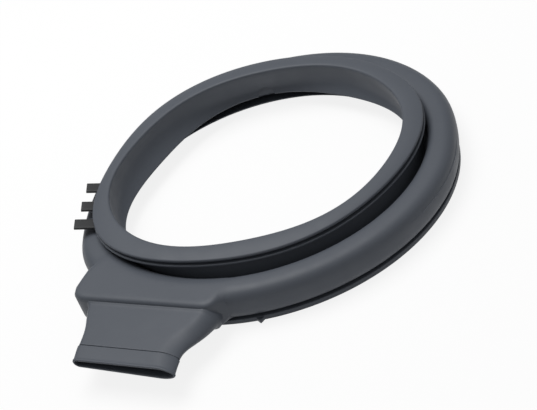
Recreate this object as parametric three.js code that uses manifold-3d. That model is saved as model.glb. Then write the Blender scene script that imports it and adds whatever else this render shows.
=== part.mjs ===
import * as THREE from 'three';
import { mergeVertices } from 'three/addons/utils/BufferGeometryUtils.js';
import Module from 'manifold-3d';

// Washing machine door seal: one moulded EPDM rubber bellows with a front lip,
// an outer roll, a tub flange and a flat hollow side duct.
// Millimetres. Ring axis = Z, tub flange at the bottom, door side up, duct along -Y.

const wasm = await Module();
wasm.setup();

// Overall heights and radii of the ring
const LIP_R = 165;            // mean outer radius of the front lip
const LIP_Z = 48;             // top of the lip at its outer edge
const THROAT_R = 145.7;       // mean radius of the opening at the top
const THROAT_RISE = 2;        // the lip climbs to a flat land round the opening
const LAND_W = 10;
const SEAL_EDGE_R = 140.4;    // free edge of the sealing wall
const SEAL_EDGE_Z = 18.4;
const ROLL_R = 179.7;         // centre circle of the outer roll
const ROLL_Z = 20.3;
const ROLL_TUBE = 15.8;
const FLANGE_R = 189.3;       // outer edge of the tub flange
const FLANGE_IN_R = 153.5;
const FLANGE_T = 4.8;
const WALL = 2.8;             // rubber thickness of the roll and the duct

// Front lip: two thin flanges with the slot for the cabinet edge between them
const LIP_T = 2.4;
const SLOT_H = 1.7;
const SLOT_DEPTH = 6.6;
const LOWER_LIP_T = 2.2;
const LEG_R = 157.6;          // outer face of the inner bellows leg
const LEG_T = 2.7;
const CHANNEL_HALF = 3;       // half width of the deep channel's round floor
const CHANNEL_Z = 20.5;

// Clamp groove between the roll and the tub flange
const NECK_R = 173.2;
const NECK_T = 2.8;
const GROOVE_TOP = 7.4;
const FLANGE_RIM = 6.4;

// The soft lip isn't a true circle: amplitude (mm) and phase (degrees) of each lobe count
const LIP_LOBES = [[2, 1.8, 127], [3, 3.8, -2], [4, 3.5, 195]];
const THROAT_LOBES = [[2, 3.1, 85], [3, 1.3, -13], [4, 2.3, 196]];
const SEAL_LOBES = [[2, 6.1, 144], [3, 4.8, 32], [4, 3.7, 117]];
const ROLL_LOBES = [[0, -4.3, 0], [1, 6.4, 4], [2, 5.6, 162], [3, 2.3, -44]];

// Duct shoulder: the box that swells out of the roll
const BOX_LEFT = -110;
const BOX_RIGHT = 43;
const BOX_FRONT = -203;
const BOX_TOP = 37;
const BOX_BOTTOM = 8;
const BOX_LEFT_ROUND = 20;
const BOX_RIGHT_ROUND = 11;
const BOX_INNER_R = 180.4;    // the box stops at the crest of the roll
const APRON_R = 172.5;        // its top runs on as an apron over the crest
const APRON_T = 3.2;
const APRON_INSET = 8;
const BOX_BACK = -120;

// Duct
const DUCT_TOP = 32.4;
const DUCT_END = -272;
const BAND_START = -254;
const BAND_STEP = 0.5;
const MOUTH_BEAD = 0.5;
const ROOT_WALL = 2.4;        // duct wall at the shoulder
const MOUTH_WALL = 1;         // and at the mouth, without the band

// Tabs beside the lip, drain notch, alignment nib
const TAB_WIDTH = 14.3;
const TAB_T = 2.4;
const TAB_TIP_Z = 46.8;
const TAB_PITCH = 17;
const TAB_HEADING = 206;
const TABS = [
  { r: 176.2, angle: 200.3, length: 22 },
  { r: 179.1, angle: 210.0, length: 25 },
  { r: 188.1, angle: 218.1, length: 30 },
];
const NOTCH_ANGLE = 111.6;
const NOTCH_R = 9;
const NIB_ANGLE = 290.5;
const NIB_REACH = 4.6;
const NIB_HALF = 5;

const RING_STEPS = 72;
const CORE_STEPS = 54;
const CORE_TURN = 1.9;
const RAD = Math.PI / 180;

function lobes(list, angle) {
  let sum = 0;
  for (const [count, amplitude, phase] of list) {
    sum += amplitude * Math.cos(count * angle - phase * RAD);
  }
  return sum;
}

// Points of an arc in the section plane, ends included
function arc(r, z, radius, from, to, steps) {
  const points = [];
  for (let i = 0; i <= steps; i += 1) {
    const a = (from + (to - from) * i / steps) * RAD;
    points.push([r + radius * Math.cos(a), z + radius * Math.sin(a)]);
  }
  return points;
}

// Section of the ring, counter-clockwise: [r, z, share of lip, throat, seal and roll lobes]
function ringSection() {
  const lowerTop = LIP_Z - LIP_T - SLOT_H;
  const lowerBottom = lowerTop - LOWER_LIP_T;
  const slotR = LIP_R - SLOT_DEPTH;
  const legIn = LEG_R - LEG_T;
  const rise = LIP_Z + THROAT_RISE;
  const under = lowerTop + 1.9;
  const list = [];
  const put = (r, z, lip = 0, throat = 0, seal = 0) => list.push([r, z, lip, throat, seal, 0]);
  const rollIn = ROLL_R - ROLL_TUBE;
  const putRoll = (r, z) => list.push([r, z, 0, 0, 0, Math.max(0, (r - rollIn) / (2 * ROLL_TUBE))]);
  // tub flange and clamp groove
  put(FLANGE_IN_R + 8, 0);
  put(FLANGE_R - 0.8, 0);
  put(FLANGE_R, 0.8);
  put(FLANGE_R - 0.3, FLANGE_T);
  put(NECK_R, FLANGE_T + 0.2);
  put(NECK_R, GROOVE_TOP);
  putRoll(ROLL_R + 6.2, GROOVE_TOP - 0.3);
  // outside of the roll, down into the channel
  for (const [r, z] of arc(ROLL_R, ROLL_Z, ROLL_TUBE, -57, 180, 13)) putRoll(r, z);
  const floorR = rollIn - CHANNEL_HALF;
  put(floorR + 0.5 * CHANNEL_HALF, CHANNEL_Z - 0.87 * CHANNEL_HALF, 0.05);
  put(floorR - 0.5 * CHANNEL_HALF, CHANNEL_Z - 0.87 * CHANNEL_HALF, 0.12);
  put(floorR - CHANNEL_HALF, CHANNEL_Z, 0.18);
  put(LEG_R, 27, 0.4);
  put(LEG_R, 35, 0.75);
  put(LEG_R, lowerBottom - 0.4, 1);
  // lower lip, slot, front lip
  put(LIP_R - 0.4, lowerBottom, 1);
  put(LIP_R - 0.4, lowerTop - 0.2, 1);
  put(slotR, lowerTop + 0.1, 1);
  put(slotR, LIP_Z - LIP_T - 0.1, 1);
  put(LIP_R, LIP_Z - LIP_T, 1);
  put(LIP_R, LIP_Z - 0.7, 1);
  put(LIP_R - 0.8, LIP_Z, 1);
  put(THROAT_R + LAND_W, rise, 0.4, 0.6);
  put(THROAT_R + 3, rise, 0, 1);
  put(THROAT_R, rise - 1.5, 0, 1);
  // sealing wall, opening side, down to its free edge
  put(THROAT_R + 0.6, 44, 0, 0.95, 0.05);
  put(THROAT_R + 1.2, 37, 0, 0.75, 0.25);
  put(THROAT_R + 1, 30.5, 0, 0.45, 0.55);
  put(THROAT_R - 0.8, 25, 0, 0.2, 0.8);
  put(SEAL_EDGE_R, SEAL_EDGE_Z, 0, 0, 1);
  put(SEAL_EDGE_R + 1.3, SEAL_EDGE_Z - 1.3, 0, 0, 1);
  // back of the sealing wall, up to the underside of the lip
  put(THROAT_R + 1.6, 23.4, 0, 0.15, 0.85);
  put(THROAT_R + 3.5, 29.5, 0, 0.45, 0.55);
  put(THROAT_R + 3.9, 37, 0, 0.75, 0.25);
  put(THROAT_R + 3.4, under, 0, 1);
  put(legIn, under, 1);
  // inside of the leg and round under the channel floor
  put(legIn, 35, 0.75);
  put(legIn, 27, 0.4);
  for (const [r, z] of arc(floorR, CHANNEL_Z, CHANNEL_HALF + WALL, 180, 360, 4)) put(r, z, 0.05);
  // inside of the roll, back down to the neck and the flange
  for (const [r, z] of arc(ROLL_R, ROLL_Z, ROLL_TUBE - WALL, 168, -48, 9)) putRoll(r, z);
  putRoll(ROLL_R + 5.6, GROOVE_TOP + WALL - 0.3);
  put(NECK_R - NECK_T, GROOVE_TOP + WALL - 0.2);
  put(NECK_R - NECK_T - 1.2, FLANGE_RIM - 0.2);
  put(FLANGE_IN_R + 0.5, FLANGE_RIM);
  put(FLANGE_IN_R, FLANGE_RIM - 1.2);
  return list;
}

function solidFrom(positions, indices) {
  const mesh = new wasm.Mesh({
    numProp: 3,
    vertProperties: new Float32Array(positions),
    triVerts: new Uint32Array(indices),
  });
  return new wasm.Manifold(mesh);
}

function solidFromGeometry(geometry) {
  const bare = geometry.clone();
  bare.deleteAttribute('normal');
  bare.deleteAttribute('uv');
  const merged = mergeVertices(bare, 1e-4);
  return solidFrom(merged.attributes.position.array, merged.index.array);
}

// The section swept round the axis, with the lobes added to each point's radius
function sweepRing() {
  const section = ringSection();
  const count = section.length;
  const positions = [];
  const indices = [];
  for (let s = 0; s < RING_STEPS; s += 1) {
    const a = 2 * Math.PI * s / RING_STEPS;
    const lip = lobes(LIP_LOBES, a);
    const throat = lobes(THROAT_LOBES, a);
    const seal = lobes(SEAL_LOBES, a);
    const roll = lobes(ROLL_LOBES, a);
    for (const [r, z, wl, wt, ws, wr] of section) {
      const radius = r + wl * lip + wt * throat + ws * seal + wr * roll;
      positions.push(radius * Math.cos(a), radius * Math.sin(a), z);
    }
    const next = (s + 1) % RING_STEPS;
    for (let i = 0; i < count; i += 1) {
      const j = (i + 1) % count;
      const p00 = s * count + i;
      const p01 = s * count + j;
      const p10 = next * count + i;
      const p11 = next * count + j;
      indices.push(p00, p10, p11, p00, p11, p01);
    }
  }
  return solidFrom(positions, indices);
}

// A closed solid through rings of equal length, each ring a list of [x, y, z]
function loft(rings) {
  const count = rings[0].length;
  const positions = rings.flat(2);
  const indices = [];
  for (let s = 0; s + 1 < rings.length; s += 1) {
    for (let i = 0; i < count; i += 1) {
      const j = (i + 1) % count;
      const a = s * count + i;
      const b = s * count + j;
      const c = a + count;
      const d = b + count;
      indices.push(a, b, d, a, d, c);
    }
  }
  const last = (rings.length - 1) * count;
  for (let i = 1; i + 1 < count; i += 1) {
    indices.push(0, i + 1, i, last, last + i, last + i + 1);
  }
  return solidFrom(positions, indices);
}

// Plan outline of the shoulder box, counter-clockwise, pulled in by inset
function boxOutline(inset) {
  const left = BOX_LEFT + inset;
  const right = BOX_RIGHT - inset;
  const front = BOX_FRONT + inset;
  const leftRound = BOX_LEFT_ROUND - Math.min(inset, 6);
  const rightRound = BOX_RIGHT_ROUND - Math.min(inset, 6);
  return [
    [right, BOX_BACK],
    [left, BOX_BACK],
    ...arc(left + leftRound, front + leftRound, leftRound, 180, 270, 6),
    ...arc(right - rightRound, front + rightRound, rightRound, 270, 360, 5),
  ];
}

function boxLevel(inset, z) {
  return boxOutline(inset).map(([x, y]) => [x, y, z]);
}

// Section of the duct at one station, counter-clockwise seen from the mouth
function ductRing({ y, left, right, top, bottomLeft, bottomRight, roundLeft, roundRight }, grow) {
  const l = left - grow;
  const r = right + grow;
  const t = top + grow;
  const bl = bottomLeft - grow;
  const br = bottomRight - grow;
  const heightLeft = t - bl;
  const heightRight = t - br;
  const lx = roundLeft + grow;
  const rx = roundRight + grow;
  const lzUp = heightLeft * 0.4;
  const rzUp = heightRight * 0.55;
  const lzDown = heightLeft * 0.56;
  const rzDown = heightRight * 0.42;
  const ring = [];
  const corner = (cx, cz, ax, az, from, to) => {
    for (let i = 0; i <= 4; i += 1) {
      const a = (from + (to - from) * i / 4) * RAD;
      ring.push([cx + ax * Math.cos(a), y, cz + az * Math.sin(a)]);
    }
  };
  corner(r - rx, t - rzUp, rx, rzUp, 0, 90);
  corner(l + lx, t - lzUp, lx, lzUp, 90, 180);
  corner(l + 1.3 * lx, bl + lzDown, 1.3 * lx, lzDown, 180, 270);
  corner(r - rx, br + rzDown, rx, rzDown, 270, 360);
  return ring;
}

const DUCT_STATIONS = [
  { y: -201, left: -87.5, right: 41.0, top: DUCT_TOP, bottomLeft: 12.0, bottomRight: 12.0, roundLeft: 5, roundRight: 9 },
  { y: -208, left: -85.5, right: 38.8, top: DUCT_TOP, bottomLeft: 12.8, bottomRight: 12.8, roundLeft: 5, roundRight: 9 },
  { y: -214, left: -83.2, right: 36.0, top: DUCT_TOP, bottomLeft: 14.0, bottomRight: 13.6, roundLeft: 5, roundRight: 8 },
  { y: -222, left: -79.5, right: 32.3, top: DUCT_TOP, bottomLeft: 15.8, bottomRight: 15.0, roundLeft: 5, roundRight: 8 },
  { y: -231, left: -75.5, right: 29.2, top: DUCT_TOP, bottomLeft: 17.6, bottomRight: 16.4, roundLeft: 5, roundRight: 12 },
  { y: -240, left: -72.4, right: 27.8, top: DUCT_TOP, bottomLeft: 19.6, bottomRight: 18.0, roundLeft: 5, roundRight: 14 },
  { y: BAND_START, left: -69.0, right: 28.5, top: DUCT_TOP, bottomLeft: 22.0, bottomRight: 19.8, roundLeft: 5, roundRight: 14 },
  { y: DUCT_END, left: -63.8, right: 32.4, top: DUCT_TOP - 0.6, bottomLeft: 24.3, bottomRight: 21.0, roundLeft: 4, roundRight: 13 },
];

// Duct outline at any y between the stations
function stationAt(y) {
  const list = DUCT_STATIONS;
  let k = 0;
  while (k + 2 < list.length && y < list[k + 1].y) k += 1;
  const a = list[k];
  const b = list[k + 1];
  const t = (y - a.y) / (b.y - a.y);
  const out = {};
  for (const key of Object.keys(a)) out[key] = a[key] + (b[key] - a[key]) * t;
  return out;
}

function ductOuter() {
  const rings = DUCT_STATIONS.slice(0, -1).map((s) => ductRing(s, 0));
  rings.push(ductRing(stationAt(BAND_START - 0.8), BAND_STEP));
  rings.push(ductRing(stationAt(DUCT_END + 3.4), BAND_STEP));
  rings.push(ductRing(stationAt(DUCT_END + 2.2), BAND_STEP + MOUTH_BEAD));
  rings.push(ductRing(stationAt(DUCT_END + 0.9), BAND_STEP + MOUTH_BEAD));
  rings.push(ductRing(stationAt(DUCT_END), BAND_STEP + 0.4));
  return loft(rings);
}

function ductInner() {
  const ys = [-197, -208, -214, -222, -231, -240, BAND_START, DUCT_END + 2, DUCT_END - 4];
  const thinFrom = -214;
  const rings = ys.map((y) => {
    const share = Math.min(1, Math.max(0, (y - thinFrom) / (DUCT_END - thinFrom)));
    return ductRing(stationAt(y), -(ROOT_WALL + (MOUTH_WALL - ROOT_WALL) * share));
  });
  return loft(rings);
}

function boxOuter() {
  const levels = [
    boxLevel(2.6, BOX_BOTTOM),
    boxLevel(0.7, BOX_BOTTOM + 1.2),
    boxLevel(0, BOX_BOTTOM + 3.5),
    boxLevel(0, BOX_TOP - 6.5),
    boxLevel(0.6, BOX_TOP - 3.8),
    boxLevel(2.2, BOX_TOP - 1.6),
    boxLevel(4.4, BOX_TOP - 0.4),
    boxLevel(7, BOX_TOP),
  ];
  return loft(levels);
}

// Thin top that carries the box's flat face inwards over the roll
function apron() {
  const low = BOX_TOP - APRON_T;
  const plate = loft([boxLevel(APRON_INSET, low), boxLevel(APRON_INSET, BOX_TOP - 0.1)]);
  return plate.subtract(core(APRON_R));
}

function boxInner() {
  const levels = [
    boxLevel(WALL + 1.6, BOX_BOTTOM + WALL),
    boxLevel(WALL, BOX_BOTTOM + WALL + 2),
    boxLevel(WALL, BOX_TOP - 7),
    boxLevel(WALL + 2.2, BOX_TOP - WALL - 1.2),
    boxLevel(WALL + 5, BOX_TOP - WALL),
  ];
  return loft(levels);
}

// Upright cylinder on the ring axis, to hold the box clear of the roll's inner half
function core(radius) {
  const shape = new THREE.CylinderGeometry(radius, radius, 120, CORE_STEPS);
  shape.rotateX(Math.PI / 2);
  shape.rotateZ(CORE_TURN * RAD);
  return solidFromGeometry(shape);
}

function tab({ r, angle, length }) {
  const shape = new THREE.BoxGeometry(length, TAB_WIDTH, TAB_T);
  shape.translate(-length / 2, 0, 0);
  shape.rotateY(-TAB_PITCH * RAD);
  shape.rotateZ(TAB_HEADING * RAD);
  shape.translate(r * Math.cos(angle * RAD), r * Math.sin(angle * RAD), TAB_TIP_Z);
  return solidFromGeometry(shape);
}

function notch() {
  const shape = new THREE.CylinderGeometry(NOTCH_R, NOTCH_R, 30, 24);
  shape.rotateZ(Math.PI / 2);
  shape.translate(139.6, 0, SEAL_EDGE_Z - 0.6);
  shape.rotateZ(NOTCH_ANGLE * RAD);
  return solidFromGeometry(shape);
}

function nib() {
  const outline = new THREE.Shape();
  outline.moveTo(FLANGE_R - 3, -NIB_HALF - 1);
  outline.lineTo(FLANGE_R + NIB_REACH, -0.6);
  outline.lineTo(FLANGE_R + NIB_REACH, 0.6);
  outline.lineTo(FLANGE_R - 3, NIB_HALF + 1);
  outline.closePath();
  const shape = new THREE.ExtrudeGeometry(outline, { depth: FLANGE_T - 1, bevelEnabled: false });
  shape.translate(0, 0, 0.4);
  shape.rotateZ(NIB_ANGLE * RAD);
  return solidFromGeometry(shape);
}

function sealSolid() {
  let solid = sweepRing();
  solid = solid.add(boxOuter().subtract(core(BOX_INNER_R)));
  solid = solid.add(apron());
  solid = solid.add(ductOuter());
  solid = solid.subtract(boxInner().subtract(core(BOX_INNER_R - 0.5)));
  solid = solid.subtract(ductInner());
  for (const place of TABS) solid = solid.add(tab(place));
  solid = solid.subtract(notch());
  return solid.add(nib());
}

function toGeometry(solid) {
  const { vertProperties, triVerts } = solid.getMesh();
  const geometry = new THREE.BufferGeometry();
  geometry.setAttribute('position', new THREE.BufferAttribute(new Float32Array(vertProperties), 3));
  geometry.setIndex(new THREE.BufferAttribute(new Uint32Array(triVerts), 1));
  geometry.computeVertexNormals();
  return geometry;
}

const rubber = new THREE.MeshStandardMaterial({ color: 0x565a60, roughness: 0.62, metalness: 0 });
const seal = new THREE.Mesh(toGeometry(sealSolid()), rubber);
seal.name = 'door_seal';

const group = new THREE.Group();
group.add(seal);

// Origin under the middle of the bounding box, on the plane of the tub flange
const box = new THREE.Box3().setFromObject(seal);
const centre = box.getCenter(new THREE.Vector3());
group.position.set(-centre.x, -centre.y, -box.min.z);
group.updateMatrixWorld(true);

export default group;
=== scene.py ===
# %% [markdown]
# # A washing machine door seal
# The object is one moulding of black-grey EPDM rubber: a soft bellows ring that closes the gap between the
# cabinet and the tub, with a flat hollow duct on one side. It was moulded in one piece, so nothing on it
# moves by itself, and every piece made here rides on the frame's one body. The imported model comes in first,
# because it fixes the size and the place of all that follows.

import math

import bmesh
import bpy
import numpy as np
from mathutils import Matrix, Vector


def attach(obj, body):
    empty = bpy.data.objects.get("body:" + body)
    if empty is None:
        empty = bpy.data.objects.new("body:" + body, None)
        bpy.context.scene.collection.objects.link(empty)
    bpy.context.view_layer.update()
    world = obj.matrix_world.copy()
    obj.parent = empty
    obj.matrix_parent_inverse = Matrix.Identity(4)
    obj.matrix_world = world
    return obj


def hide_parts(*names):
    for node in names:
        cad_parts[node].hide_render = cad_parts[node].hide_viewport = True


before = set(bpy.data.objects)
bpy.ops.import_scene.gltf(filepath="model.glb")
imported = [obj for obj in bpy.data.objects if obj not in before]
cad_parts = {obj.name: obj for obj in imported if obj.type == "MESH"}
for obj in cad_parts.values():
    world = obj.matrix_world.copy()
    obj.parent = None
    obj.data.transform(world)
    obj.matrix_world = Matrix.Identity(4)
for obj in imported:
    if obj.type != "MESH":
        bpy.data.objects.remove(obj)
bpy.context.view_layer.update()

# %% [markdown]
# ## The camera
# The photograph looks down on the seal from the duct's right, with the camera rolled to one side, so the
# camera is given its three axes instead of a target to look at. They were worked out from the ovals of the
# lip, the opening and the flange. The long lens keeps the near duct from looking too large.

# %% Camera at the photograph's viewing angle
CAMERA_AT = Vector((0.5463, -0.7766, 0.6708))
CAMERA_RIGHT = Vector((0.8866, 0.3687, -0.2792))
CAMERA_UP = Vector((-0.0232, 0.6384, 0.7694))
CAMERA_BACK = Vector((0.4619, -0.6757, 0.5746))
SENSOR_WIDTH = 36
LENS = 80.45
NEAREST = 0.05
FARTHEST = 20

camera_data = bpy.data.cameras.new("photo_camera")
camera_data.sensor_width = SENSOR_WIDTH
camera_data.lens = LENS
camera_data.clip_start = NEAREST
camera_data.clip_end = FARTHEST
camera = bpy.data.objects.new("photo_camera", camera_data)
bpy.context.scene.collection.objects.link(camera)
turn = Matrix((CAMERA_RIGHT, CAMERA_UP, CAMERA_BACK)).transposed().to_4x4()
camera.matrix_world = Matrix.Translation(CAMERA_AT) @ turn
bpy.context.scene.camera = camera
print("camera stands", round(CAMERA_AT.length, 3), "m from the frame's origin")

# %% [markdown]
# ## Working in millimetres round the ring's axis
# Rubber parts are drawn in millimetres, and nearly all of this one is turned about one axis. So each piece
# is shaped in millimetres with that axis at zero, and only then brought into the frame by one call. The
# ring's axis isn't at the origin of the frame, because the duct sticks out to one side.

# %% Bring a finished piece into the frame
RING_X = -2.300
RING_Y = 36.722
MM = 0.001


def deselect():
    bpy.ops.object.select_all(action="DESELECT")


def activate(piece):
    deselect()
    piece.select_set(True)
    bpy.context.view_layer.objects.active = piece


def apply_place(piece):
    activate(piece)
    bpy.ops.object.transform_apply(location=True, rotation=True, scale=True)


def into_frame(piece):
    place = Matrix.Scale(MM, 4) @ Matrix.Translation((RING_X, RING_Y, 0))
    piece.data.transform(place)
    piece.data.update()


print("the ring's axis in the frame:", round(RING_X * MM, 4), round(RING_Y * MM, 4))

# %% [markdown]
# ## The section of the ring
# Cut through anywhere, the ring shows the same folded ribbon of rubber. From the outside it runs: tub flange,
# clamp groove, fat hollow roll, deep channel, thin leg, second lip, slot for the cabinet's edge, front lip,
# and the sealing wall that drops into the opening and touches the door glass. One closed outline holds all
# of them, so the ring can be spun in one go and has a true thickness everywhere. Each corner carries its own
# rounding, because a mould has no sharp inner corners and the light catches every rounded one.

# %% Sizes of the ring
# R is a distance from the axis, Z a height above the tub's face
LIP_R = 165.0
LIP_Z = 48.0
SECOND_LIP_R = 165.9
SLOT_R = 158.2
LAND_Z = 50.0
LAND_W = 10.0
THROAT_R = 145.7
LEG_R = 157.6
LEG_IN_R = 154.9
EDGE_R = 140.4
EDGE_Z = 18.4
ROLL_R = 179.7
ROLL_Z = 20.3
ROLL_TUBE = 15.8
ROLL_FOOT_R = 183.0
WALL = 2.8
CHANNEL_R = 160.9
CHANNEL_Z = 16.8
CHANNEL_HALF = 3.0
NECK_R = 173.2
FLANGE_R = 190.8
FLANGE_IN_R = 153.5
print("front lip", 2 * LIP_R, "mm across, flange", 2 * FLANGE_R, "mm, wall of the roll", WALL, "mm")

# %% Helpers that draw the outline
CORNER_LIMIT = 0.48
CORNER_PARTS = 4
FLOW_PARTS = 4


def on_arc(r, z, radius, start, end, step):
    count = max(2, round(abs(end - start) / step))
    angles = np.radians(np.linspace(start, end, count + 1))
    return [(r + radius * math.cos(a), z + radius * math.sin(a)) for a in angles]


def rounded(corners):
    """Corners are (row, rounding); a row is a tuple of numbers that starts with r and z."""
    out = []
    for k, (row, rounding) in enumerate(corners):
        here = np.array(row, float)
        if rounding == 0 or k in (0, len(corners) - 1):
            out.append(here)
            continue
        before = np.array(corners[k - 1][0], float)
        after = np.array(corners[k + 1][0], float)
        reach_in = np.linalg.norm((before - here)[:2])
        reach_out = np.linalg.norm((after - here)[:2])
        cut_back = min(rounding, CORNER_LIMIT * reach_in, CORNER_LIMIT * reach_out)
        start = here + (before - here) * (cut_back / reach_in)
        end = here + (after - here) * (cut_back / reach_out)
        for t in np.linspace(0, 1, CORNER_PARTS + 1):
            out.append((1 - t) ** 2 * start + 2 * t * (1 - t) * here + t * t * end)
    return out


def flowing(rows):
    """A smooth run through all rows."""
    rows = [np.array(row, float) for row in rows]
    out = [rows[0]]
    for k in range(len(rows) - 1):
        p0 = rows[max(k - 1, 0)]
        p1, p2 = rows[k], rows[k + 1]
        p3 = rows[min(k + 2, len(rows) - 1)]
        for t in np.linspace(0, 1, FLOW_PARTS + 1)[1:]:
            bend = 2 * p0 - 5 * p1 + 4 * p2 - p3
            twist = -p0 + 3 * p1 - 3 * p2 + p3
            out.append(0.5 * (2 * p1 + (p2 - p0) * t + bend * t ** 2 + twist * t ** 3))
    return out


print("one rounded corner has", len(rounded([((0, 0), 0), ((9, 0), 1), ((9, 9), 0)])) - 2, "points")

# %% [markdown]
# Every point of the outline also says how much it follows each of the soft lobes below, and whether it lies
# on the part of the roll that swells into the duct's shoulder. These shares are stored on the points, and
# the spin copies them all the way round. The lip's share is 1 at the front lip and fades down the leg, the
# throat's and the edge's shares change places down the sealing wall, and the flange follows nothing.

# %% The rows of the flange, and of the roll's two skins
# a row: r, z, lip share, throat share, edge share, roll share, run along the shoulder, skin
# the run is 0 at the roll's crest and 1 underneath, below 0 towards the channel, and NONE off the roll
NONE = -9.0
OUTER_SKIN = 0.0
INNER_SKIN = 1.0
# the angles round the roll's middle where its skins end, underneath and at the channel
UNDER_ROLL = -51.5
UNDER_ROLL_IN = -48.0
OVER_ROLL = 178
OVER_ROLL_IN = 164
OUTER_POINTS = 60
INNER_POINTS = 43
# the parting line lies at this angle, between two points that are this far from it
PARTING = 22.5
PARTING_HALF = 0.5
# powers of the roll's rounded square; a power of 2 would be a circle
SQUARE_OUT = 2.5
SQUARE_IN = 3.2


def plain(r, z, lip=0.0, throat=0.0, edge=0.0):
    return (r, z, lip, throat, edge, 0.0, NONE, OUTER_SKIN)


def flange_rows():
    return rounded([
        (plain(FLANGE_IN_R, 5.3), 0),
        (plain(161.5, 0.0), 1.5),
        (plain(FLANGE_R, 0.0), 1.0),
        (plain(FLANGE_R - 0.3, 4.8), 0.9),
        (plain(NECK_R, 5.0), 0.8),
        (plain(NECK_R, 7.4), 0.8),
        (plain(ROLL_FOOT_R, 7.2), 0),
    ])


def roll_share(r):
    return max(0.0, (r - (ROLL_R - ROLL_TUBE)) / (2 * ROLL_TUBE))


def roll_rows(radius, angles, lowest, skin):
    """A rounded square: the roll's top and side are flatter than a circle's, its inner corner fuller."""
    rows = []
    for angle in angles:
        across = math.cos(math.radians(angle))
        up = math.sin(math.radians(angle))
        power = SQUARE_OUT if across > 0 else SQUARE_IN
        reach = radius * (abs(across) ** power + abs(up) ** power) ** (-1 / power)
        r = ROLL_R + reach * across
        run = (90 - angle) / (90 - lowest) if angle <= 90 else -(angle - 90) / 90
        rows.append((r, ROLL_Z + reach * up, 0.0, 0.0, 0.0, roll_share(r), run, skin))
    return rows


parting_angles = [PARTING - PARTING_HALF, PARTING + PARTING_HALF]
outside_angles = sorted([*np.linspace(UNDER_ROLL, OVER_ROLL, OUTER_POINTS), *parting_angles])
inside_angles = np.linspace(OVER_ROLL_IN, UNDER_ROLL_IN, INNER_POINTS)
print("points of the roll:", len(outside_angles), "outside,", len(inside_angles), "inside")

# %% The rows of the channel and of the leg
# height and lip share, up the outside of the leg and down its inside; along the two arcs of the channel
# the lip's share changes by the same amount from point to point
LEG_UP = ((21, 0.24), (26, 0.4), (31, 0.58), (34.5, 0.72))
LEG_DOWN = ((35, 0.75), (31, 0.58), (26, 0.4), (21, 0.24))


def channel_rows():
    floor_arc = on_arc(CHANNEL_R, CHANNEL_Z, CHANNEL_HALF, -15, -180, 27)
    rows = [plain(r, z, 0.05 + 0.1 * k / 6) for k, (r, z) in enumerate(floor_arc)]
    return rows + [plain(LEG_R, z, share) for z, share in LEG_UP]


def under_channel_rows():
    under_arc = on_arc(CHANNEL_R, CHANNEL_Z, CHANNEL_HALF + WALL, 180, 350, 17)
    rows = [plain(LEG_IN_R, z, share) for z, share in LEG_DOWN]
    return rows + [plain(r, z, 0.18 - 0.16 * k / 10) for k, (r, z) in enumerate(under_arc)]


print("points of channel and leg:", len(channel_rows()) + len(under_channel_rows()))


# %% The rows of the lips and of the sealing wall
def lip_rows():
    return rounded([
        (plain(LEG_R, 37, 0.84), 0),
        (plain(LEG_R, 40.2, 1), 1.6),
        (plain(SECOND_LIP_R, 40.6, 1), 0.9),
        (plain(SECOND_LIP_R, 42.8, 1), 1.0),
        (plain(SLOT_R, 43.0, 1), 0.6),
        (plain(SLOT_R, 45.1, 1), 0.6),
        (plain(LIP_R, 45.2, 1), 1.2),
        (plain(LIP_R, LIP_Z, 1), 1.5),
        (plain(THROAT_R + LAND_W, LAND_Z, 0.4, 0.6), 5),
        (plain(THROAT_R, LAND_Z, 0, 1), 4),
        (plain(THROAT_R + 0.6, 44, 0, 0.95, 0.05), 0),
    ])


def wall_rows():
    """Down the face of the sealing wall, round its free edge and up its back."""
    rows = flowing([
        plain(THROAT_R + 0.6, 44, 0, 0.95, 0.05),
        plain(THROAT_R + 1.2, 37, 0, 0.75, 0.25),
        plain(THROAT_R + 1.0, 30.5, 0, 0.45, 0.55),
        plain(THROAT_R - 0.8, 25, 0, 0.2, 0.8),
        plain(EDGE_R, EDGE_Z, 0, 0, 1),
    ])[1:-1]
    rows += rounded([
        (plain(THROAT_R - 3.0, 21.7, 0, 0.1, 0.9), 0),
        (plain(EDGE_R, EDGE_Z, 0, 0, 1), 0.8),
        (plain(EDGE_R + 1.3, EDGE_Z - 1.3, 0, 0, 1), 0.8),
        (plain(THROAT_R + 1.6, 23.4, 0, 0.15, 0.85), 0),
    ])[1:]
    rows += flowing([
        plain(THROAT_R + 1.6, 23.4, 0, 0.15, 0.85),
        plain(THROAT_R + 3.5, 29.5, 0, 0.45, 0.55),
        plain(THROAT_R + 3.9, 37, 0, 0.75, 0.25),
        plain(THROAT_R + 3.4, 43, 0, 0.96, 0.04),
    ])[1:]
    rows += rounded([
        (plain(THROAT_R + 3.4, 44, 0, 1), 0),
        (plain(THROAT_R + 3.4, 45.8, 0, 1), 1.5),
        (plain(LEG_IN_R, 45.8, 1), 1.5),
        (plain(LEG_IN_R, 40, 0.95), 0),
    ])[1:]
    return rows


print("points of the lips:", len(lip_rows()), "and of the sealing wall:", len(wall_rows()))


# %% All rows of the section, in one closed round
def groove_floor_rows():
    """The inside, from the roll back over the clamp groove to the flange's inner edge."""
    return rounded([
        (plain(ROLL_FOOT_R, 9.9), 0),
        (plain(170.4, 10.0), 1.8),
        (plain(169.2, 6.2), 1.2),
        (plain(154.2, 6.4), 0.8),
        (plain(FLANGE_IN_R, 5.9), 0),
    ])


section = np.array([
    *flange_rows(),
    *roll_rows(ROLL_TUBE, outside_angles, UNDER_ROLL, OUTER_SKIN),
    *channel_rows(),
    *lip_rows(),
    *wall_rows(),
    *under_channel_rows(),
    *roll_rows(ROLL_TUBE - WALL, inside_angles, UNDER_ROLL_IN, INNER_SKIN),
    *groove_floor_rows(),
])
print("points in the section:", len(section))

# %% [markdown]
# A maker would draw this with a pen tool. Here a small plane is merged to one point, the point is extruded
# from place to place, and the last point is joined to the first.

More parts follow.
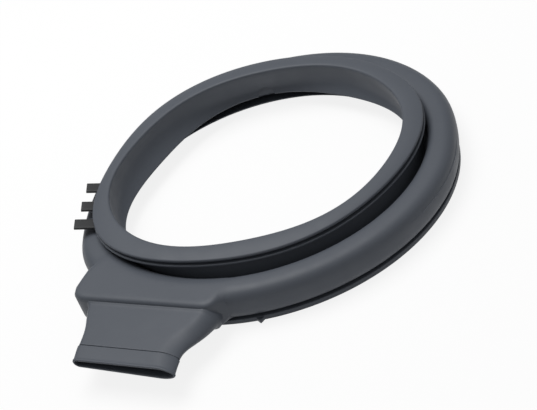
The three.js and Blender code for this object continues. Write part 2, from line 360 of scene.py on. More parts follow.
# %% Draw the outline by extruding a point
SHARES = ("lip_share", "throat_share", "edge_share", "roll_share", "shoulder_run", "skin")
START_PLANE = 0.2


def draw_outline(name, rows):
    deselect()
    bpy.ops.mesh.primitive_plane_add(size=START_PLANE, location=(rows[0][0], 0, rows[0][1]))
    piece = bpy.context.object
    piece.name = name
    apply_place(piece)
    bpy.ops.object.mode_set(mode="EDIT")
    bpy.ops.mesh.merge(type="CENTER")
    for before, here in zip(rows, rows[1:]):
        step = (here[0] - before[0], 0, here[1] - before[1])
        bpy.ops.mesh.extrude_region_move(TRANSFORM_OT_translate={"value": step})
    bpy.ops.object.mode_set(mode="OBJECT")
    mesh = piece.data
    for k, share in enumerate(SHARES):
        layer = mesh.attributes.new(share, "FLOAT", "POINT")
        layer.data.foreach_set("value", np.ascontiguousarray(rows[:, 2 + k], np.float32))
    mesh.vertices.foreach_set("select", [i in (0, len(rows) - 1) for i in range(len(rows))])
    bpy.ops.object.mode_set(mode="EDIT")
    bpy.ops.mesh.edge_face_add()
    bpy.ops.mesh.select_all(action="SELECT")
    bpy.ops.object.mode_set(mode="OBJECT")
    return piece


bellows = draw_outline("bellows", section)
print("outline:", len(bellows.data.vertices), "points,", len(bellows.data.edges), "edges")

# %% [markdown]
# ## Spin the section round the axis
# The spin is done in stretches. Most of the ring needs a step of a degree and a half, but the shoulder's
# two ends rise almost straight out of the roll, so the steps are much finer there.

# %% Spin in stretches and close the ring
# start and end in degrees, number of steps
STRETCHES = ((0, 222, 148), (222, 246, 60), (246, 278, 46), (278, 290, 60), (290, 360, 47))
MERGE = 0.01

activate(bellows)
bpy.ops.object.mode_set(mode="EDIT")
bpy.ops.mesh.select_all(action="SELECT")
for start, end, steps in STRETCHES:
    bpy.ops.mesh.spin(steps=steps, angle=math.radians(end - start), center=(0, 0, 0), axis=(0, 0, 1))
bpy.ops.mesh.select_all(action="SELECT")
bpy.ops.mesh.remove_doubles(threshold=MERGE)
bpy.ops.mesh.normals_make_consistent(inside=False)
bpy.ops.object.mode_set(mode="OBJECT")
print("ring:", len(bellows.data.vertices), "points,", len(bellows.data.polygons), "faces")

# %% [markdown]
# ## Soft lobes, and the shoulder that grows out of the roll
# Free rubber never lies as a true circle. The lip, the throat, the loose edge of the wall and the roll each
# sag into a few low lobes, and that is what makes the rim look soft. On the duct's side the roll swells into
# a box with a flat top. Both are moves of the spun points: no operator swells one side of a turned part, so
# the radius of every point is worked out anew from its angle and its shares.

# %% Lobes and dents
# count of lobes, height in mm, phase in degrees; a count of 0 moves the whole round
LIP_LOBES = ((0, -1.3, 0), (1, 3.7, 136), (2, 2.5, 128), (3, 3.0, 8), (4, 2.4, 184), (5, 1.1, 73))
THROAT_LOBES = ((0, -1.8, 0), (1, 2.4, 155), (2, 2.5, 73), (3, 1.6, -26), (4, 1.5, 204), (6, 0.9, 124))
EDGE_LOBES = ((2, 6.1, 144), (3, 4.8, 32), (4, 3.7, 117))
ROLL_LOBES = ((0, -4.3, 0), (1, 6.4, 4), (2, 5.6, 162), (3, 2.3, -44))
# where the roll is pressed in or bulges: centre and half width in degrees, depth in mm
ROLL_DENTS = ((197, 32, -7.0), (229, 15, 3.0), (18, 22, -1.4))


def lobes(table, angle):
    return sum(high * np.cos(count * angle - math.radians(phase)) for count, high, phase in table)


def dents(table, angle):
    total = np.zeros_like(angle)
    for centre, half_width, depth in table:
        away = np.abs((np.degrees(angle) - centre + 180) % 360 - 180) / half_width
        total += depth * (0.5 + 0.5 * np.cos(np.pi * np.minimum(away, 1)))
    return total


def roll_shift(angle):
    return lobes(ROLL_LOBES, angle) + dents(ROLL_DENTS, angle)


all_round = np.radians(np.arange(0.0, 360.0))
print("the roll moves from", round(roll_shift(all_round).min(), 1), "to",
      round(roll_shift(all_round).max(), 1), "mm")

# %% [markdown]
# Seen from above, the shoulder's outline is a box with two rounded corners in front. Where it meets the
# roll's round, rubber leaves no crease, so the larger of the two radii is taken at every angle and then
# blurred over the angle. The waist on the left is tight, and the saddle on the right is softer.

# %% The plan of roll and shoulder together
BOX_LEFT = -110.0
BOX_RIGHT = 43.0
BOX_FRONT = -203.0
BOX_BACK = -60.0
LEFT_ROUND = 16.0
RIGHT_ROUND = 11.0
# an outline further in has smaller corners, but they lose no more than this
MOST_LOST = 6
SIDE_POINTS = 60
CORNER_STEP = 4
# how far the blur spreads in degrees, and between which angles the one gives way to the other
WAIST = 0.4
SADDLE = 1.3
WAIST_ENDS = 262
SADDLE_STARTS = 274
GRID_STEP = 0.2


def smoothstep(low, high, value):
    t = np.clip((value - low) / (high - low), 0, 1)
    return t * t * (3 - 2 * t)


def blurred(values, spread):
    """A running average with a bell of the given spread, all round the ring."""
    count = round(3 * spread / GRID_STEP)
    bell = np.exp(-0.5 * (np.arange(-count, count + 1) * GRID_STEP / spread) ** 2)
    longer = np.concatenate([values[-count:], values, values[:count]])
    return np.convolve(longer, bell / bell.sum(), mode="valid")


def box_outline(inset):
    """Points of the box seen from above, from its back left round the front to its back right."""
    left, right, front = BOX_LEFT + inset, BOX_RIGHT - inset, BOX_FRONT + inset
    left_round = LEFT_ROUND - min(inset, MOST_LOST)
    right_round = RIGHT_ROUND - min(inset, MOST_LOST)
    points = [(left, y) for y in np.linspace(BOX_BACK, front + left_round, SIDE_POINTS)]
    points += on_arc(left + left_round, front + left_round, left_round, 180, 270, CORNER_STEP)
    points += [(x, front) for x in np.linspace(left + left_round, right - right_round, SIDE_POINTS)][1:-1]
    points += on_arc(right - right_round, front + right_round, right_round, 270, 360, CORNER_STEP)
    points += [(right, y) for y in np.linspace(front + right_round, BOX_BACK, SIDE_POINTS)]
    return np.array(points)


def plan_radius(angle, inset):
    """Distance from the ring's axis to the outline of roll and shoulder together, at each angle."""
    points = box_outline(inset)
    theta = np.degrees(np.arctan2(points[:, 1], points[:, 0])) % 360
    order = np.argsort(theta)
    grid = np.arange(0, 360, GRID_STEP)
    box = np.interp(grid, theta[order], np.hypot(points[:, 0], points[:, 1])[order])
    roll = ROLL_R + ROLL_TUBE + roll_shift(np.radians(grid)) - inset
    both = np.maximum(box, roll)
    tight = blurred(both, WAIST)
    wide = blurred(both, SADDLE)
    outline = tight + (wide - tight) * smoothstep(WAIST_ENDS, SADDLE_STARTS, grid)
    return np.interp(angle, grid, outline)


front_reach = plan_radius(np.array([270.0]), 0)[0]
print("the shoulder's front face lies", round(front_reach, 1), "mm from the axis")

# %% [markdown]
# Cut from the crest outwards, the shoulder is flat on top, rounds over into an upright front wall and turns
# back under it to the neck. The inner skin has the same profile, one wall thickness further in.

# %% The profile of the shoulder, from the crest out, down and back under
BOX_TOP = 37.0
BOX_BOTTOM = 8.0
FOOT_OUT = 10.5
FOOT_Z = 7.1
# run along the profile, inset from the plan outline, height
PROFILE = (
    (0.28, 5.6, 37.0), (0.33, 3.4, 36.6), (0.38, 1.6, 35.6), (0.43, 0.5, 34.0), (0.48, 0.0, 31.6),
    (0.74, 0.0, 11.5), (0.80, 0.7, 9.2), (0.86, 2.6, 8.0),
)


def shoulder_rows(angle, run, radius_at_crest, skin):
    """Radius and height of the shoulder at each angle and run; the inner skin lies one wall inside."""
    wall = WALL * skin
    low = BOX_BOTTOM + wall
    high = BOX_TOP - wall
    rows_r = [radius_at_crest]
    rows_z = [np.full_like(angle, high)]
    runs = [0.0]
    for at, inset, z in PROFILE:
        rows_r.append(plan_radius(angle, inset + wall))
        rows_z.append(np.full_like(angle, min(max(z, low), high)))
        runs.append(at)
    rows_r.append(np.full_like(angle, ROLL_R + FOOT_OUT))
    rows_z.append(np.full_like(angle, FOOT_Z + wall))
    runs.append(1.0)
    r = rows_r[-1].copy()
    z = rows_z[-1].copy()
    for k in range(len(runs) - 1):
        inside = (run >= runs[k]) & (run < runs[k + 1])
        t = (run - runs[k]) / (runs[k + 1] - runs[k])
        r = np.where(inside, rows_r[k] + (rows_r[k + 1] - rows_r[k]) * t, r)
        z = np.where(inside, rows_z[k] + (rows_z[k + 1] - rows_z[k]) * t, z)
    return r, z


print("the shoulder's profile has", len(PROFILE) + 2, "rows")


# %% Read and write points in bulk
def read_share(mesh, name):
    values = np.zeros(len(mesh.vertices), np.float32)
    mesh.attributes[name].data.foreach_get("value", values)
    return values.astype(float)


def read_points(mesh):
    points = np.zeros(len(mesh.vertices) * 3, np.float32)
    mesh.vertices.foreach_get("co", points)
    return points.reshape(-1, 3).astype(float)


def write_points(mesh, points):
    mesh.vertices.foreach_set("co", points.astype(np.float32).ravel())
    mesh.update()


print("points with a share in the lip:", int((read_share(bellows.data, "lip_share") > 0).sum()))

# %% [markdown]
# Now every point moves. First come the lobes and the low step of the mould's parting line, which shows only
# on one side. Then the points of the roll slide towards the shoulder wherever the plan outline stands clear
# of the roll. The roll's inner half becomes an apron that slopes from the flat top down to the channel.

# %% Move the points of the ring
PARTING_STEP = 0.6
# between which angles the step appears and ends, and between which runs it fades down the roll
STEP_APPEARS = (-24, -14)
STEP_ENDS = (8, 16)
STEP_FADES = (0.62, 0.95)
# how far the plan outline stands clear of the roll where the shoulder starts and where it is full, in mm
GROWING = (0.3, 8)
APRON_INNER_R = 160.0
APRON_FOOT = 22.0


def soften(mesh, r, angle, roll):
    """The radius of every point after the lobes and the parting line's step."""
    around_zero = np.degrees(angle)
    run = read_share(mesh, "shoulder_run")
    skin = np.round(read_share(mesh, "skin"))
    r = r + read_share(mesh, "lip_share") * lobes(LIP_LOBES, angle)
    r = r + read_share(mesh, "throat_share") * lobes(THROAT_LOBES, angle)
    r = r + read_share(mesh, "edge_share") * lobes(EDGE_LOBES, angle)
    r = r + read_share(mesh, "roll_share") * roll
    below_line = (run > (90 - PARTING) / (90 - UNDER_ROLL)) & (skin == OUTER_SKIN)
    step_shows = smoothstep(*STEP_APPEARS, around_zero) * (1 - smoothstep(*STEP_ENDS, around_zero))
    return r + PARTING_STEP * below_line * (1 - smoothstep(*STEP_FADES, run)) * step_shows


def shape_ring(piece):
    mesh = piece.data
    points = read_points(mesh)
    angle = np.arctan2(points[:, 1], points[:, 0])
    degrees = np.degrees(angle) % 360
    run = read_share(mesh, "shoulder_run")
    skin = np.round(read_share(mesh, "skin"))
    roll = roll_shift(angle)
    r = soften(mesh, np.hypot(points[:, 0], points[:, 1]), angle, roll)
    z = points[:, 2]

    gap = plan_radius(degrees, 0) - (ROLL_R + ROLL_TUBE + roll)
    grown = smoothstep(*GROWING, gap)
    crest = ROLL_R + 0.5 * roll
    for which in (OUTER_SKIN, INNER_SKIN):
        part = (run >= 0) & (skin == which)
        box_r, box_z = shoulder_rows(degrees[part], run[part], crest[part], which)
        r[part] += (box_r - r[part]) * grown[part]
        z[part] += (box_z - z[part]) * grown[part]
    apron = (run < 0) & (run > NONE + 1) & (skin == OUTER_SKIN)
    across = np.clip((crest[apron] - r[apron]) / (crest[apron] - (ROLL_R - ROLL_TUBE)), 0, 1)
    apron_r = crest[apron] - (crest[apron] - APRON_INNER_R) * across
    apron_z = APRON_FOOT + (BOX_TOP - APRON_FOOT) * np.sqrt(1 - across ** 2)
    r[apron] += (apron_r - r[apron]) * grown[apron]
    z[apron] += (apron_z - z[apron]) * grown[apron]
    write_points(mesh, np.stack([r * np.cos(angle), r * np.sin(angle), z], 1))
    return grown


grown = shape_ring(bellows)
print("points at the shoulder's angles:", int((grown > 0.5).sum()))

# %% [markdown]
# ## The duct
# The duct is a flat hollow sleeve that leaves the shoulder, narrows in a long S on its right side and ends
# in a reinforced band with a bead round the mouth. A sleeve like this is lofted: one closed loop is extruded
# again and again, and each new loop is set to the outline of the duct at that place. The loops run out along
# the outside, turn round the bead and come back along the inside, so the wall has a real thickness and the
# mouth is truly open.

# %% Stations of the duct
# y, left, right, top, bottom left, bottom right, corner width left, corner width right
STATIONS = np.array([
    (-194.0, -90.5, 42.4, 32.4, 11.6, 11.6, 5, 13),
    (-201.0, -89.5, 42.6, 32.4, 12.0, 12.0, 5, 13),
    (-208.0, -87.5, 41.9, 32.4, 12.8, 12.8, 5, 13),
    (-214.0, -85.2, 40.4, 32.4, 14.0, 13.6, 5, 13),
    (-222.0, -81.3, 38.2, 32.4, 15.8, 15.0, 5, 14),
    (-231.0, -77.0, 34.6, 32.4, 17.8, 16.4, 5, 17),
    (-240.0, -73.8, 30.8, 32.4, 19.8, 18.0, 5, 17),
    (-247.0, -72.0, 29.4, 32.4, 21.0, 19.0, 5, 16),
    (-254.0, -70.4, 29.9, 32.4, 22.2, 19.8, 5, 16),
    (-272.0, -65.0, 33.6, 31.8, 25.0, 21.2, 4, 14),
])


def station_at(y):
    """The duct's sizes at y, smooth along the duct."""
    ys = -STATIONS[:, 0]
    slopes = np.gradient(STATIONS[:, 1:], ys, axis=0)
    k = int(np.clip(np.searchsorted(ys, -y) - 1, 0, len(ys) - 2))
    width = ys[k + 1] - ys[k]
    s = (-y - ys[k]) / width
    a, b = STATIONS[k, 1:], STATIONS[k + 1, 1:]
    ga, gb = slopes[k] * width, slopes[k + 1] * width
    return ((2 * s ** 3 - 3 * s ** 2 + 1) * a + (s ** 3 - 2 * s ** 2 + s) * ga
            + (-2 * s ** 3 + 3 * s ** 2) * b + (s ** 3 - s ** 2) * gb)


mouth_left, mouth_right = station_at(STATIONS[-1, 0])[:2]
print("the duct's mouth is", round(mouth_right - mouth_left, 1), "mm wide")

# %% [markdown]
# The duct's section is a flat shape with four corners of its own: the two on the right are wide and soft,
# and the two on the left are narrow. Each corner is a quarter of an oval, or a little flatter at the top
# right, and the straight top and bottom lie between.

# %% One loop of the duct
CORNER_STEPS = 9
FLAT_STEPS = 16
# a power of 2 is an ellipse, less is a flatter chamfer: top right, top left, bottom left, bottom right
CORNER_POWERS = (1.5, 2, 2, 2)
# how much of the duct's height each corner takes, and how much wider the bottom left one is
TOP_RIGHT_DROP = 0.55
TOP_LEFT_DROP = 0.4
LOW_LEFT_RISE = 0.56
LOW_LEFT_WIDER = 1.3
LOW_RIGHT_RISE = 0.42
# shares of the flare at the root; the left side and the bottom take all of it
RIGHT_FLARE = 0.2
TOP_FLARE = 0.35


def duct_loop(y, grow, flare=0.0):
    """Points of the duct's outline at y, in order; grow moves the wall out all round."""
    left, right, top, low_left, low_right, wide_left, wide_right = station_at(y)
    left -= grow + flare
    right += grow + RIGHT_FLARE * flare
    top += grow + TOP_FLARE * flare
    low_left -= grow + flare
    low_right -= grow + flare
    wide_left += grow
    wide_right += grow
    tall_left = top - low_left
    tall_right = top - low_right
    high_right = TOP_RIGHT_DROP * tall_right
    high_left = TOP_LEFT_DROP * tall_left
    rise_left = LOW_LEFT_RISE * tall_left
    rise_right = LOW_RIGHT_RISE * tall_right
    wider_left = LOW_LEFT_WIDER * wide_left
    # centre, half width and half height of each corner's oval, and its first and last angle
    corners = (
        (right - wide_right, top - high_right, wide_right, high_right, 0, 90),
        (left + wide_left, top - high_left, wide_left, high_left, 90, 180),
        (left + wider_left, low_left + rise_left, wider_left, rise_left, 180, 270),
        (right - wide_right, low_right + rise_right, wide_right, rise_right, 270, 360),
    )
    points = []
    for k, (x, z, ax, az, start, end) in enumerate(corners):
        power = 2 / CORNER_POWERS[k]
        for a in np.radians(np.linspace(start, end, CORNER_STEPS + 1)):
            across = math.copysign(abs(math.cos(a)) ** power, math.cos(a))
            up = math.copysign(abs(math.sin(a)) ** power, math.sin(a))
            points.append((x + ax * across, y, z + az * up))
        if k in (0, 2):
            nx, nz, nax, naz, nstart, _ = corners[k + 1]
            turn_to = math.radians(nstart)
            ahead = np.array((nx + nax * math.cos(turn_to), y, nz + naz * math.sin(turn_to)))
            here = np.array(points[-1])
            for t in np.linspace(0, 1, FLAT_STEPS + 1)[1:-1]:
                points.append(tuple(here + (ahead - here) * t))
    return np.array(points)


print("points in one loop:", len(duct_loop(BOX_FRONT, 0.0)))

# %% [markdown]
# The chain says where each loop lies along the duct and how far it stands out from the plain sleeve. It
# starts inside the shoulder, thinner there, so that the duct's right side comes out of the wall softly.

# %% The chain of loops: out along the outside, round the bead, back along the inside
DUCT_END = -272.0
BAND_START = -254.0
BAND_STEP = 0.6
BEAD = BAND_STEP + 0.55
FILLET = 4.0
MOUTH_WALL = 1.0
WALL_GAIN = 1.4
FULL_WALL_Y = -214
# y, growth
ROOT = ((-194.0, -1.6), (-196.0, -1.4), (-198.0, -0.9), (-200.0, -0.4), (-201.6, -0.1))
FILLET_YS = (-203.4, -204.2, -204.5, -205.0, -205.6, -206.4, -207.3, -208.4)
SLEEVE_YS = np.arange(-210, -252.6, -1.9)
# distance from the band's start, growth
GROOVE = ((1.2, 0.0), (0.8, -0.1), (0.5, -0.8), (0.0, -1.0), (-0.45, -0.8), (-0.6, BAND_STEP - 0.3),
          (-0.9, BAND_STEP))
BAND_YS = np.arange(BAND_START - 3, DUCT_END + 3.4, -2.2)
# distance from the mouth, growth
MOUTH = ((2.9, BAND_STEP), (2.5, BAND_STEP + 0.15), (2.1, BEAD - 0.1), (1.6, BEAD), (1.0, BEAD),
         (0.45, BEAD - 0.15), (0.1, BEAD - 0.5), (0.0, BEAD - 0.9), (0.1, -0.3), (0.6, -0.75), (1.6, -1.0))
BORE_YS = np.arange(DUCT_END + 5, -206, 3.0)
BORE_END = ((-201.6, -2.4), (-195.0, -2.6))


def root_flare(y):
    """The duct turns out into the shoulder's front face on a small fillet."""
    away = BOX_FRONT - y
    if away >= FILLET:
        return 0.0
    away = max(away, 0.0)
    return FILLET - math.sqrt(FILLET ** 2 - (FILLET - away) ** 2)


def bore_row(y):
    share = (y - DUCT_END) / (FULL_WALL_Y - DUCT_END)
    return (y, -(MOUTH_WALL + WALL_GAIN * min(1.0, share)), 0.0)


# y, growth, flare
duct_chain = [
    *[(y, grow, root_flare(y)) for y, grow in ROOT],
    *[(y, 0.0, root_flare(y)) for y in FILLET_YS],
    *[(y, 0.0, 0.0) for y in SLEEVE_YS],
    *[(BAND_START + away, grow, 0.0) for away, grow in GROOVE],
    *[(y, BAND_STEP, 0.0) for y in BAND_YS],
    *[(DUCT_END + away, grow, 0.0) for away, grow in MOUTH],
    *[bore_row(y) for y in BORE_YS],
    *[(y, grow, 0.0) for y, grow in BORE_END],
]
print("loops in the chain:", len(duct_chain))

# %% Loft the loops and close the sleeve
LOOP_RADIUS = 10


def loft(name, loops):
    """Extrudes one closed loop along the others. The piece stays in edit mode, with open ends."""
    deselect()
    count = len(loops[0])
    bpy.ops.mesh.primitive_circle_add(vertices=count, radius=LOOP_RADIUS, location=(0, 0, 0))
    piece = bpy.context.object
    piece.name = name
    place = piece.data.attributes.new("spoke", "INT", "POINT")
    place.data.foreach_set("value", range(count))
    bpy.ops.object.mode_set(mode="EDIT")
    for number, loop in enumerate(loops):
        if number:
            bpy.ops.mesh.extrude_region_move(TRANSFORM_OT_translate={"value": (0, -1, 0)})
        mesh = bmesh.from_edit_mesh(piece.data)
        spoke = mesh.verts.layers.int["spoke"]
        for vert in mesh.verts:
            if vert.select:
                vert.co = loop[vert[spoke]]
    bmesh.update_edit_mesh(piece.data)
    bpy.ops.mesh.select_all(action="DESELECT")
    return piece


def close_sleeve(piece):
    """Bridges the two open ends, which lie one inside the other."""
    bpy.ops.mesh.select_non_manifold(extend=False)
    bpy.ops.mesh.bridge_edge_loops()
    bpy.ops.mesh.select_all(action="SELECT")
    bpy.ops.mesh.normals_make_consistent(inside=False)
    bpy.ops.object.mode_set(mode="OBJECT")


duct = loft("duct", [duct_loop(*row) for row in duct_chain])
close_sleeve(duct)
print("duct:", len(duct.data.vertices), "points,", len(duct.data.polygons), "faces")

# %% [markdown]
# ## Open the shoulder to the duct, and cut the drain notch
# The duct would end on the shoulder's front wall, so the wall is cut with a plug whose sides run inside the
# duct's own wall, and the edge of the cut stays hidden in the rubber. A half-round notch in the wall's free
# edge, on the far side, lets water run off the glass. Both are boolean cuts with simple cutters.

# %% Open the shoulder to the duct
PLUG_INSET = 1.8
PLUG_YS = (-196.5, -198.5, -201, -204, -207)


def cut(piece, cutter):
    activate(piece)
    modifier = piece.modifiers.new("cut", "BOOLEAN")
    modifier.object = cutter
    modifier.operation = "DIFFERENCE"
    modifier.solver = "EXACT"
    bpy.ops.object.modifier_apply(modifier=modifier.name)
    bpy.data.objects.remove(cutter)


plug = loft("plug", [duct_loop(y, -PLUG_INSET) for y in PLUG_YS])
plug_ends = bmesh.from_edit_mesh(plug.data)
for edge in plug_ends.edges:
    edge.select = edge.is_boundary
bpy.ops.mesh.edge_face_add()
bpy.ops.mesh.select_all(action="SELECT")
bpy.ops.mesh.normals_make_consistent(inside=False)
bpy.ops.object.mode_set(mode="OBJECT")
cut(bellows, plug)
print("after the duct's cut:", len(bellows.data.vertices), "points")

# %% Cut the drain notch
NOTCH_ANGLE = math.radians(111.6)
NOTCH_R = 9.0
NOTCH_AT_R = 139.6
NOTCH_DROP = 0.6
NOTCH_LONG = 30
NOTCH_SIDES = 48

notch_at = (NOTCH_AT_R * math.cos(NOTCH_ANGLE), NOTCH_AT_R * math.sin(NOTCH_ANGLE), EDGE_Z - NOTCH_DROP)
deselect()
bpy.ops.mesh.primitive_cylinder_add(vertices=NOTCH_SIDES, radius=NOTCH_R, depth=NOTCH_LONG,
                                    location=notch_at, rotation=(0, math.pi / 2, NOTCH_ANGLE))
notch_cutter = bpy.context.object
apply_place(notch_cutter)
cut(bellows, notch_cutter)
print("after the notch:", len(bellows.data.vertices), "points")

# %% [markdown]
# ## Tabs and nib
# Three flat tabs stand out beside the lip, and a small pointed nib on the flange usually marks how such a
# seal sits on its tub. The tabs are thin boxes, subdivided, bevelled and turned into place. The nib is a
# prism with three sides, whose corners are set to a point and a wide root. All of them root inside the
# rubber of the ring.

# %% Tabs beside the lip
TAB_WIDTH = 14.3
TAB_THICK = 2.4
TAB_TIP_Z = 46.8
TAB_PITCH = 17.0
TAB_HEADING = 206.0
TAB_CUTS = 3
TAB_ROUNDING = 0.7
BEVEL_PARTS = 3
BEVEL_FROM = 40
# distance of the tip from the axis, its angle, length of the tab
TABS = ((176.2, 200.3, 22.0), (179.1, 210.0, 25.0), (188.1, 218.1, 30.0))


def bevelled(piece, width):
    activate(piece)
    modifier = piece.modifiers.new("edges", "BEVEL")
    modifier.width = width
    modifier.segments = BEVEL_PARTS
    modifier.limit_method = "ANGLE"
    modifier.angle_limit = math.radians(BEVEL_FROM)
    bpy.ops.object.modifier_apply(modifier=modifier.name)


def make_tab(number, tip_r, tip_angle, length):
    deselect()
    bpy.ops.mesh.primitive_cube_add(size=1, location=(-length / 2, 0, 0))
    piece = bpy.context.object
    piece.name = f"tab_{number}"
    piece.scale = (length, TAB_WIDTH, TAB_THICK)
    apply_place(piece)
    bpy.ops.object.mode_set(mode="EDIT")
    bpy.ops.mesh.select_all(action="SELECT")
    bpy.ops.mesh.subdivide(number_cuts=TAB_CUTS)
    bpy.ops.object.mode_set(mode="OBJECT")
    bevelled(piece, TAB_ROUNDING)
    angle = math.radians(tip_angle)
    tip = Vector((tip_r * math.cos(angle), tip_r * math.sin(angle), TAB_TIP_Z))
    turn_up = Matrix.Rotation(math.radians(-TAB_PITCH), 4, "Y")
    heading = Matrix.Rotation(math.radians(TAB_HEADING), 4, "Z")
    piece.data.transform(Matrix.Translation(tip) @ heading @ turn_up)
    return piece


tabs = [make_tab(number, *row) for number, row in enumerate(TABS, 1)]
print("tabs:", [tab.name for tab in tabs])

# %% The nib on the flange
NIB_ANGLE = 290.5
NIB_REACH = 4.6
NIB_ROOT = 3
NIB_HALF = 6.0
NIB_HIGH = 3.8
NIB_FOOT = 0.4
NIB_ROUNDING = 0.6
# the point and the two ends of the root
NIB_CORNERS = ((FLANGE_R + NIB_REACH, 0), (FLANGE_R - NIB_ROOT, NIB_HALF), (FLANGE_R - NIB_ROOT, -NIB_HALF))

deselect()
bpy.ops.mesh.primitive_cylinder_add(vertices=3, radius=1, depth=NIB_HIGH,
                                    location=(0, 0, NIB_FOOT + NIB_HIGH / 2))
nib = bpy.context.object
nib.name = "nib"
apply_place(nib)
for vert in nib.data.vertices:
    around = math.degrees(math.atan2(vert.co.x, vert.co.y)) % 360
    vert.co.x, vert.co.y = NIB_CORNERS[round(around / 120) % 3]
activate(nib)
bpy.ops.object.mode_set(mode="EDIT")
bpy.ops.mesh.select_all(action="SELECT")
bpy.ops.mesh.normals_make_consistent(inside=False)
bpy.ops.object.mode_set(mode="OBJECT")
bevelled(nib, NIB_ROUNDING)
nib.data.transform(Matrix.Rotation(math.radians(NIB_ANGLE), 4, "Z"))
print("nib:", len(nib.data.vertices), "points")

# %% [markdown]
# ## The rubber
# Moulded EPDM is a matt blue-grey black. Close up it has a fine grain from the mould, a faint cloudy bloom
# where wax has come to the surface, and slightly shinier spots where it was handled. Three noises of very
# different size make this: one for the bloom in the colour, one for the gloss, and a fine one for the grain
# in the bump. All read Object coordinates, so the pattern stays on the rubber.

# %% Rubber material
ROUGH_LOW = 0.47
ROUGH_HIGH = 0.55
BLOOM_SCALE = 9.0
GLOSS_SCALE = 60.0
GRAIN_SCALE = 900.0


def node(tree, kind, x, y, **inputs):
    made = tree.nodes.new(kind)
    made.location = (x, y)
    for key, value in inputs.items():
        made.inputs[key.replace("_", " ")].default_value = value
    return made


def rubber_material(name, dark, light):
    material = bpy.data.materials.new(name)
    material.use_nodes = True
    tree = material.node_tree
    tree.nodes.clear()
    link = tree.links.new
    place = node(tree, "ShaderNodeTexCoord", -1100, 0)
    bloom = node(tree, "ShaderNodeTexNoise", -850, 250, Scale=BLOOM_SCALE, Detail=5.0, Roughness=0.6)
    link(place.outputs["Object"], bloom.inputs["Vector"])
    tone = node(tree, "ShaderNodeValToRGB", -600, 250)
    tone.color_ramp.elements[0].position = 0.32
    tone.color_ramp.elements[0].color = (*dark, 1)
    tone.color_ramp.elements[1].position = 0.70
    tone.color_ramp.elements[1].color = (*light, 1)
    link(bloom.outputs["Fac"], tone.inputs["Fac"])
    gloss = node(tree, "ShaderNodeTexNoise", -850, 0, Scale=GLOSS_SCALE, Detail=3.0, Roughness=0.5)
    link(place.outputs["Object"], gloss.inputs["Vector"])
    gloss_range = node(tree, "ShaderNodeMapRange", -600, 0, From_Min=0.3, From_Max=0.7,
                       To_Min=ROUGH_LOW, To_Max=ROUGH_HIGH)
    link(gloss.outputs["Fac"], gloss_range.inputs["Value"])
    grain = node(tree, "ShaderNodeTexNoise", -850, -300, Scale=GRAIN_SCALE, Detail=2.0, Roughness=0.5)
    link(place.outputs["Object"], grain.inputs["Vector"])
    bump = node(tree, "ShaderNodeBump", -350, -300, Strength=0.25, Distance=0.0002)
    link(grain.outputs["Fac"], bump.inputs["Height"])
    shader = node(tree, "ShaderNodeBsdfPrincipled", -100, 0, Specular_IOR_Level=0.4)
    link(tone.outputs["Color"], shader.inputs["Base Color"])
    link(gloss_range.outputs["Result"], shader.inputs["Roughness"])
    link(bump.outputs["Normal"], shader.inputs["Normal"])
    surface = node(tree, "ShaderNodeOutputMaterial", 200, 0)
    link(shader.outputs["BSDF"], surface.inputs["Surface"])
    return material


moulded_rubber = rubber_material("moulded_rubber", (0.091, 0.103, 0.124), (0.100, 0.112, 0.134))
# the tabs are the same rubber as the ring; this much darker copy of it is painted shade, standing in for the
# shadow the tabs sit in
tab_rubber_painted_shade = rubber_material("tab_rubber_painted_shade", (0.030, 0.031, 0.033), (0.040, 0.041, 0.043))
print("materials:", moulded_rubber.name, "and", tab_rubber_painted_shade.name)

# %% [markdown]
# A finished piece gets its material and smooth shading, with edges kept sharp where faces meet at more than
# 40 degrees. The shares are no longer needed and go. Then the piece moves into the frame, rides on the one
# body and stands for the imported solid.

# %% Finish the pieces
SMOOTH_TO = 40


def finish_piece(piece, material):
    piece.data.materials.clear()
    piece.data.materials.append(material)
    activate(piece)
    bpy.ops.object.shade_smooth_by_angle(angle=math.radians(SMOOTH_TO))
    for name in list(piece.data.attributes.keys()):
        if name in SHARES or name == "spoke":
            piece.data.attributes.remove(piece.data.attributes[name])
    into_frame(piece)
    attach(piece, "root")
    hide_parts("door_seal")


for piece in (bellows, duct, nib):
    finish_piece(piece, moulded_rubber)
for piece in tabs:
    finish_piece(piece, tab_rubber_painted_shade)
print("faces in all:", sum(len(piece.data.polygons) for piece in (bellows, duct, nib, *tabs)))

# %% [markdown]
# ## Floor, light and world
# The photograph is a plain cut-out on white. A wide pale floor stands in for it. To the camera and in
# reflections it is mostly white, and keeps a faint soft shadow. To all other light it is plain grey, and
# throws some light back up under the roll. One large soft box high above makes the surfaces that face up
# the brightest, and an even pale world keeps the inner walls from going black.

# %% Floor
FLOOR_SIZE = 12
FLOOR_GREY = 0.68
FLOOR_WHITE = 1.12
WHITE_SHARE = 0.76

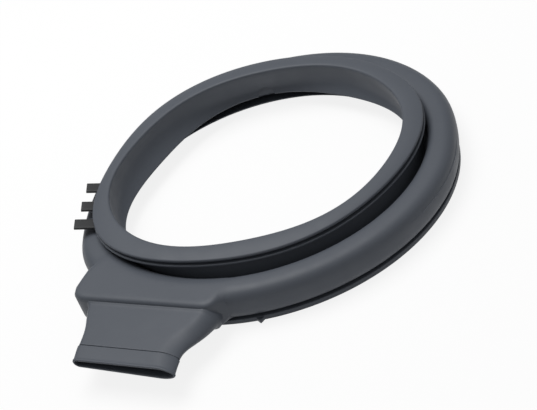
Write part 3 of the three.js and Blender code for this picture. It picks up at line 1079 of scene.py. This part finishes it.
deselect()
bpy.ops.mesh.primitive_plane_add(size=FLOOR_SIZE, location=(0, 0, 0))
floor = bpy.context.object
floor.name = "studio_floor"
apply_place(floor)
floor_material = bpy.data.materials.new("studio_floor")
floor_material.use_nodes = True
floor_tree = floor_material.node_tree
floor_link = floor_tree.links.new
floor_shader = floor_tree.nodes["Principled BSDF"]
floor_shader.inputs["Base Color"].default_value = (FLOOR_GREY, FLOOR_GREY, FLOOR_GREY, 1)
floor_shader.inputs["Roughness"].default_value = 0.9
floor_shader.inputs["Specular IOR Level"].default_value = 0.1
floor_glow = node(floor_tree, "ShaderNodeEmission", -100, -300, Color=(1, 1, 1, 1), Strength=FLOOR_WHITE)
floor_bright = node(floor_tree, "ShaderNodeMixShader", 100, -100, Fac=WHITE_SHARE)
floor_pick = node(floor_tree, "ShaderNodeMixShader", 200, 100)
floor_ray = node(floor_tree, "ShaderNodeLightPath", -300, 300)
floor_seen = node(floor_tree, "ShaderNodeMath", -100, 300)
floor_seen.operation = "MAXIMUM"
floor_link(floor_shader.outputs["BSDF"], floor_bright.inputs[1])
floor_link(floor_glow.outputs["Emission"], floor_bright.inputs[2])
floor_link(floor_ray.outputs["Is Camera Ray"], floor_seen.inputs[0])
floor_link(floor_ray.outputs["Is Glossy Ray"], floor_seen.inputs[1])
floor_link(floor_seen.outputs["Value"], floor_pick.inputs["Fac"])
floor_link(floor_shader.outputs["BSDF"], floor_pick.inputs[1])
floor_link(floor_bright.outputs["Shader"], floor_pick.inputs[2])
floor_link(floor_pick.outputs["Shader"], floor_tree.nodes["Material Output"].inputs["Surface"])
floor.data.materials.append(floor_material)
print("floor:", FLOOR_SIZE, "m wide,", len(floor_tree.nodes), "nodes")

# %% World and lamp
WORLD_STRENGTH = 0.24
LAMP_AT = Vector((-0.5, 0.3, 1.9))
LAMP_SIZE = 1.5
LAMP_POWER = 29.5

scene = bpy.context.scene
world = bpy.data.worlds.new("studio_world")
scene.world = world
world.use_nodes = True
background = world.node_tree.nodes["Background"]
background.inputs["Color"].default_value = (1, 1, 1, 1)
background.inputs["Strength"].default_value = WORLD_STRENGTH

lamp_data = bpy.data.lights.new("softbox_above", "AREA")
lamp_data.shape = "SQUARE"
lamp_data.size = LAMP_SIZE
lamp_data.energy = LAMP_POWER
lamp = bpy.data.objects.new("softbox_above", lamp_data)
scene.collection.objects.link(lamp)
lamp.location = LAMP_AT
lamp.rotation_euler = (-LAMP_AT).to_track_quat("-Z", "Y").to_euler()
scene.view_settings.view_transform = "Standard"
print("lamp:", LAMP_POWER, "W at", round(LAMP_AT.length, 2), "m")
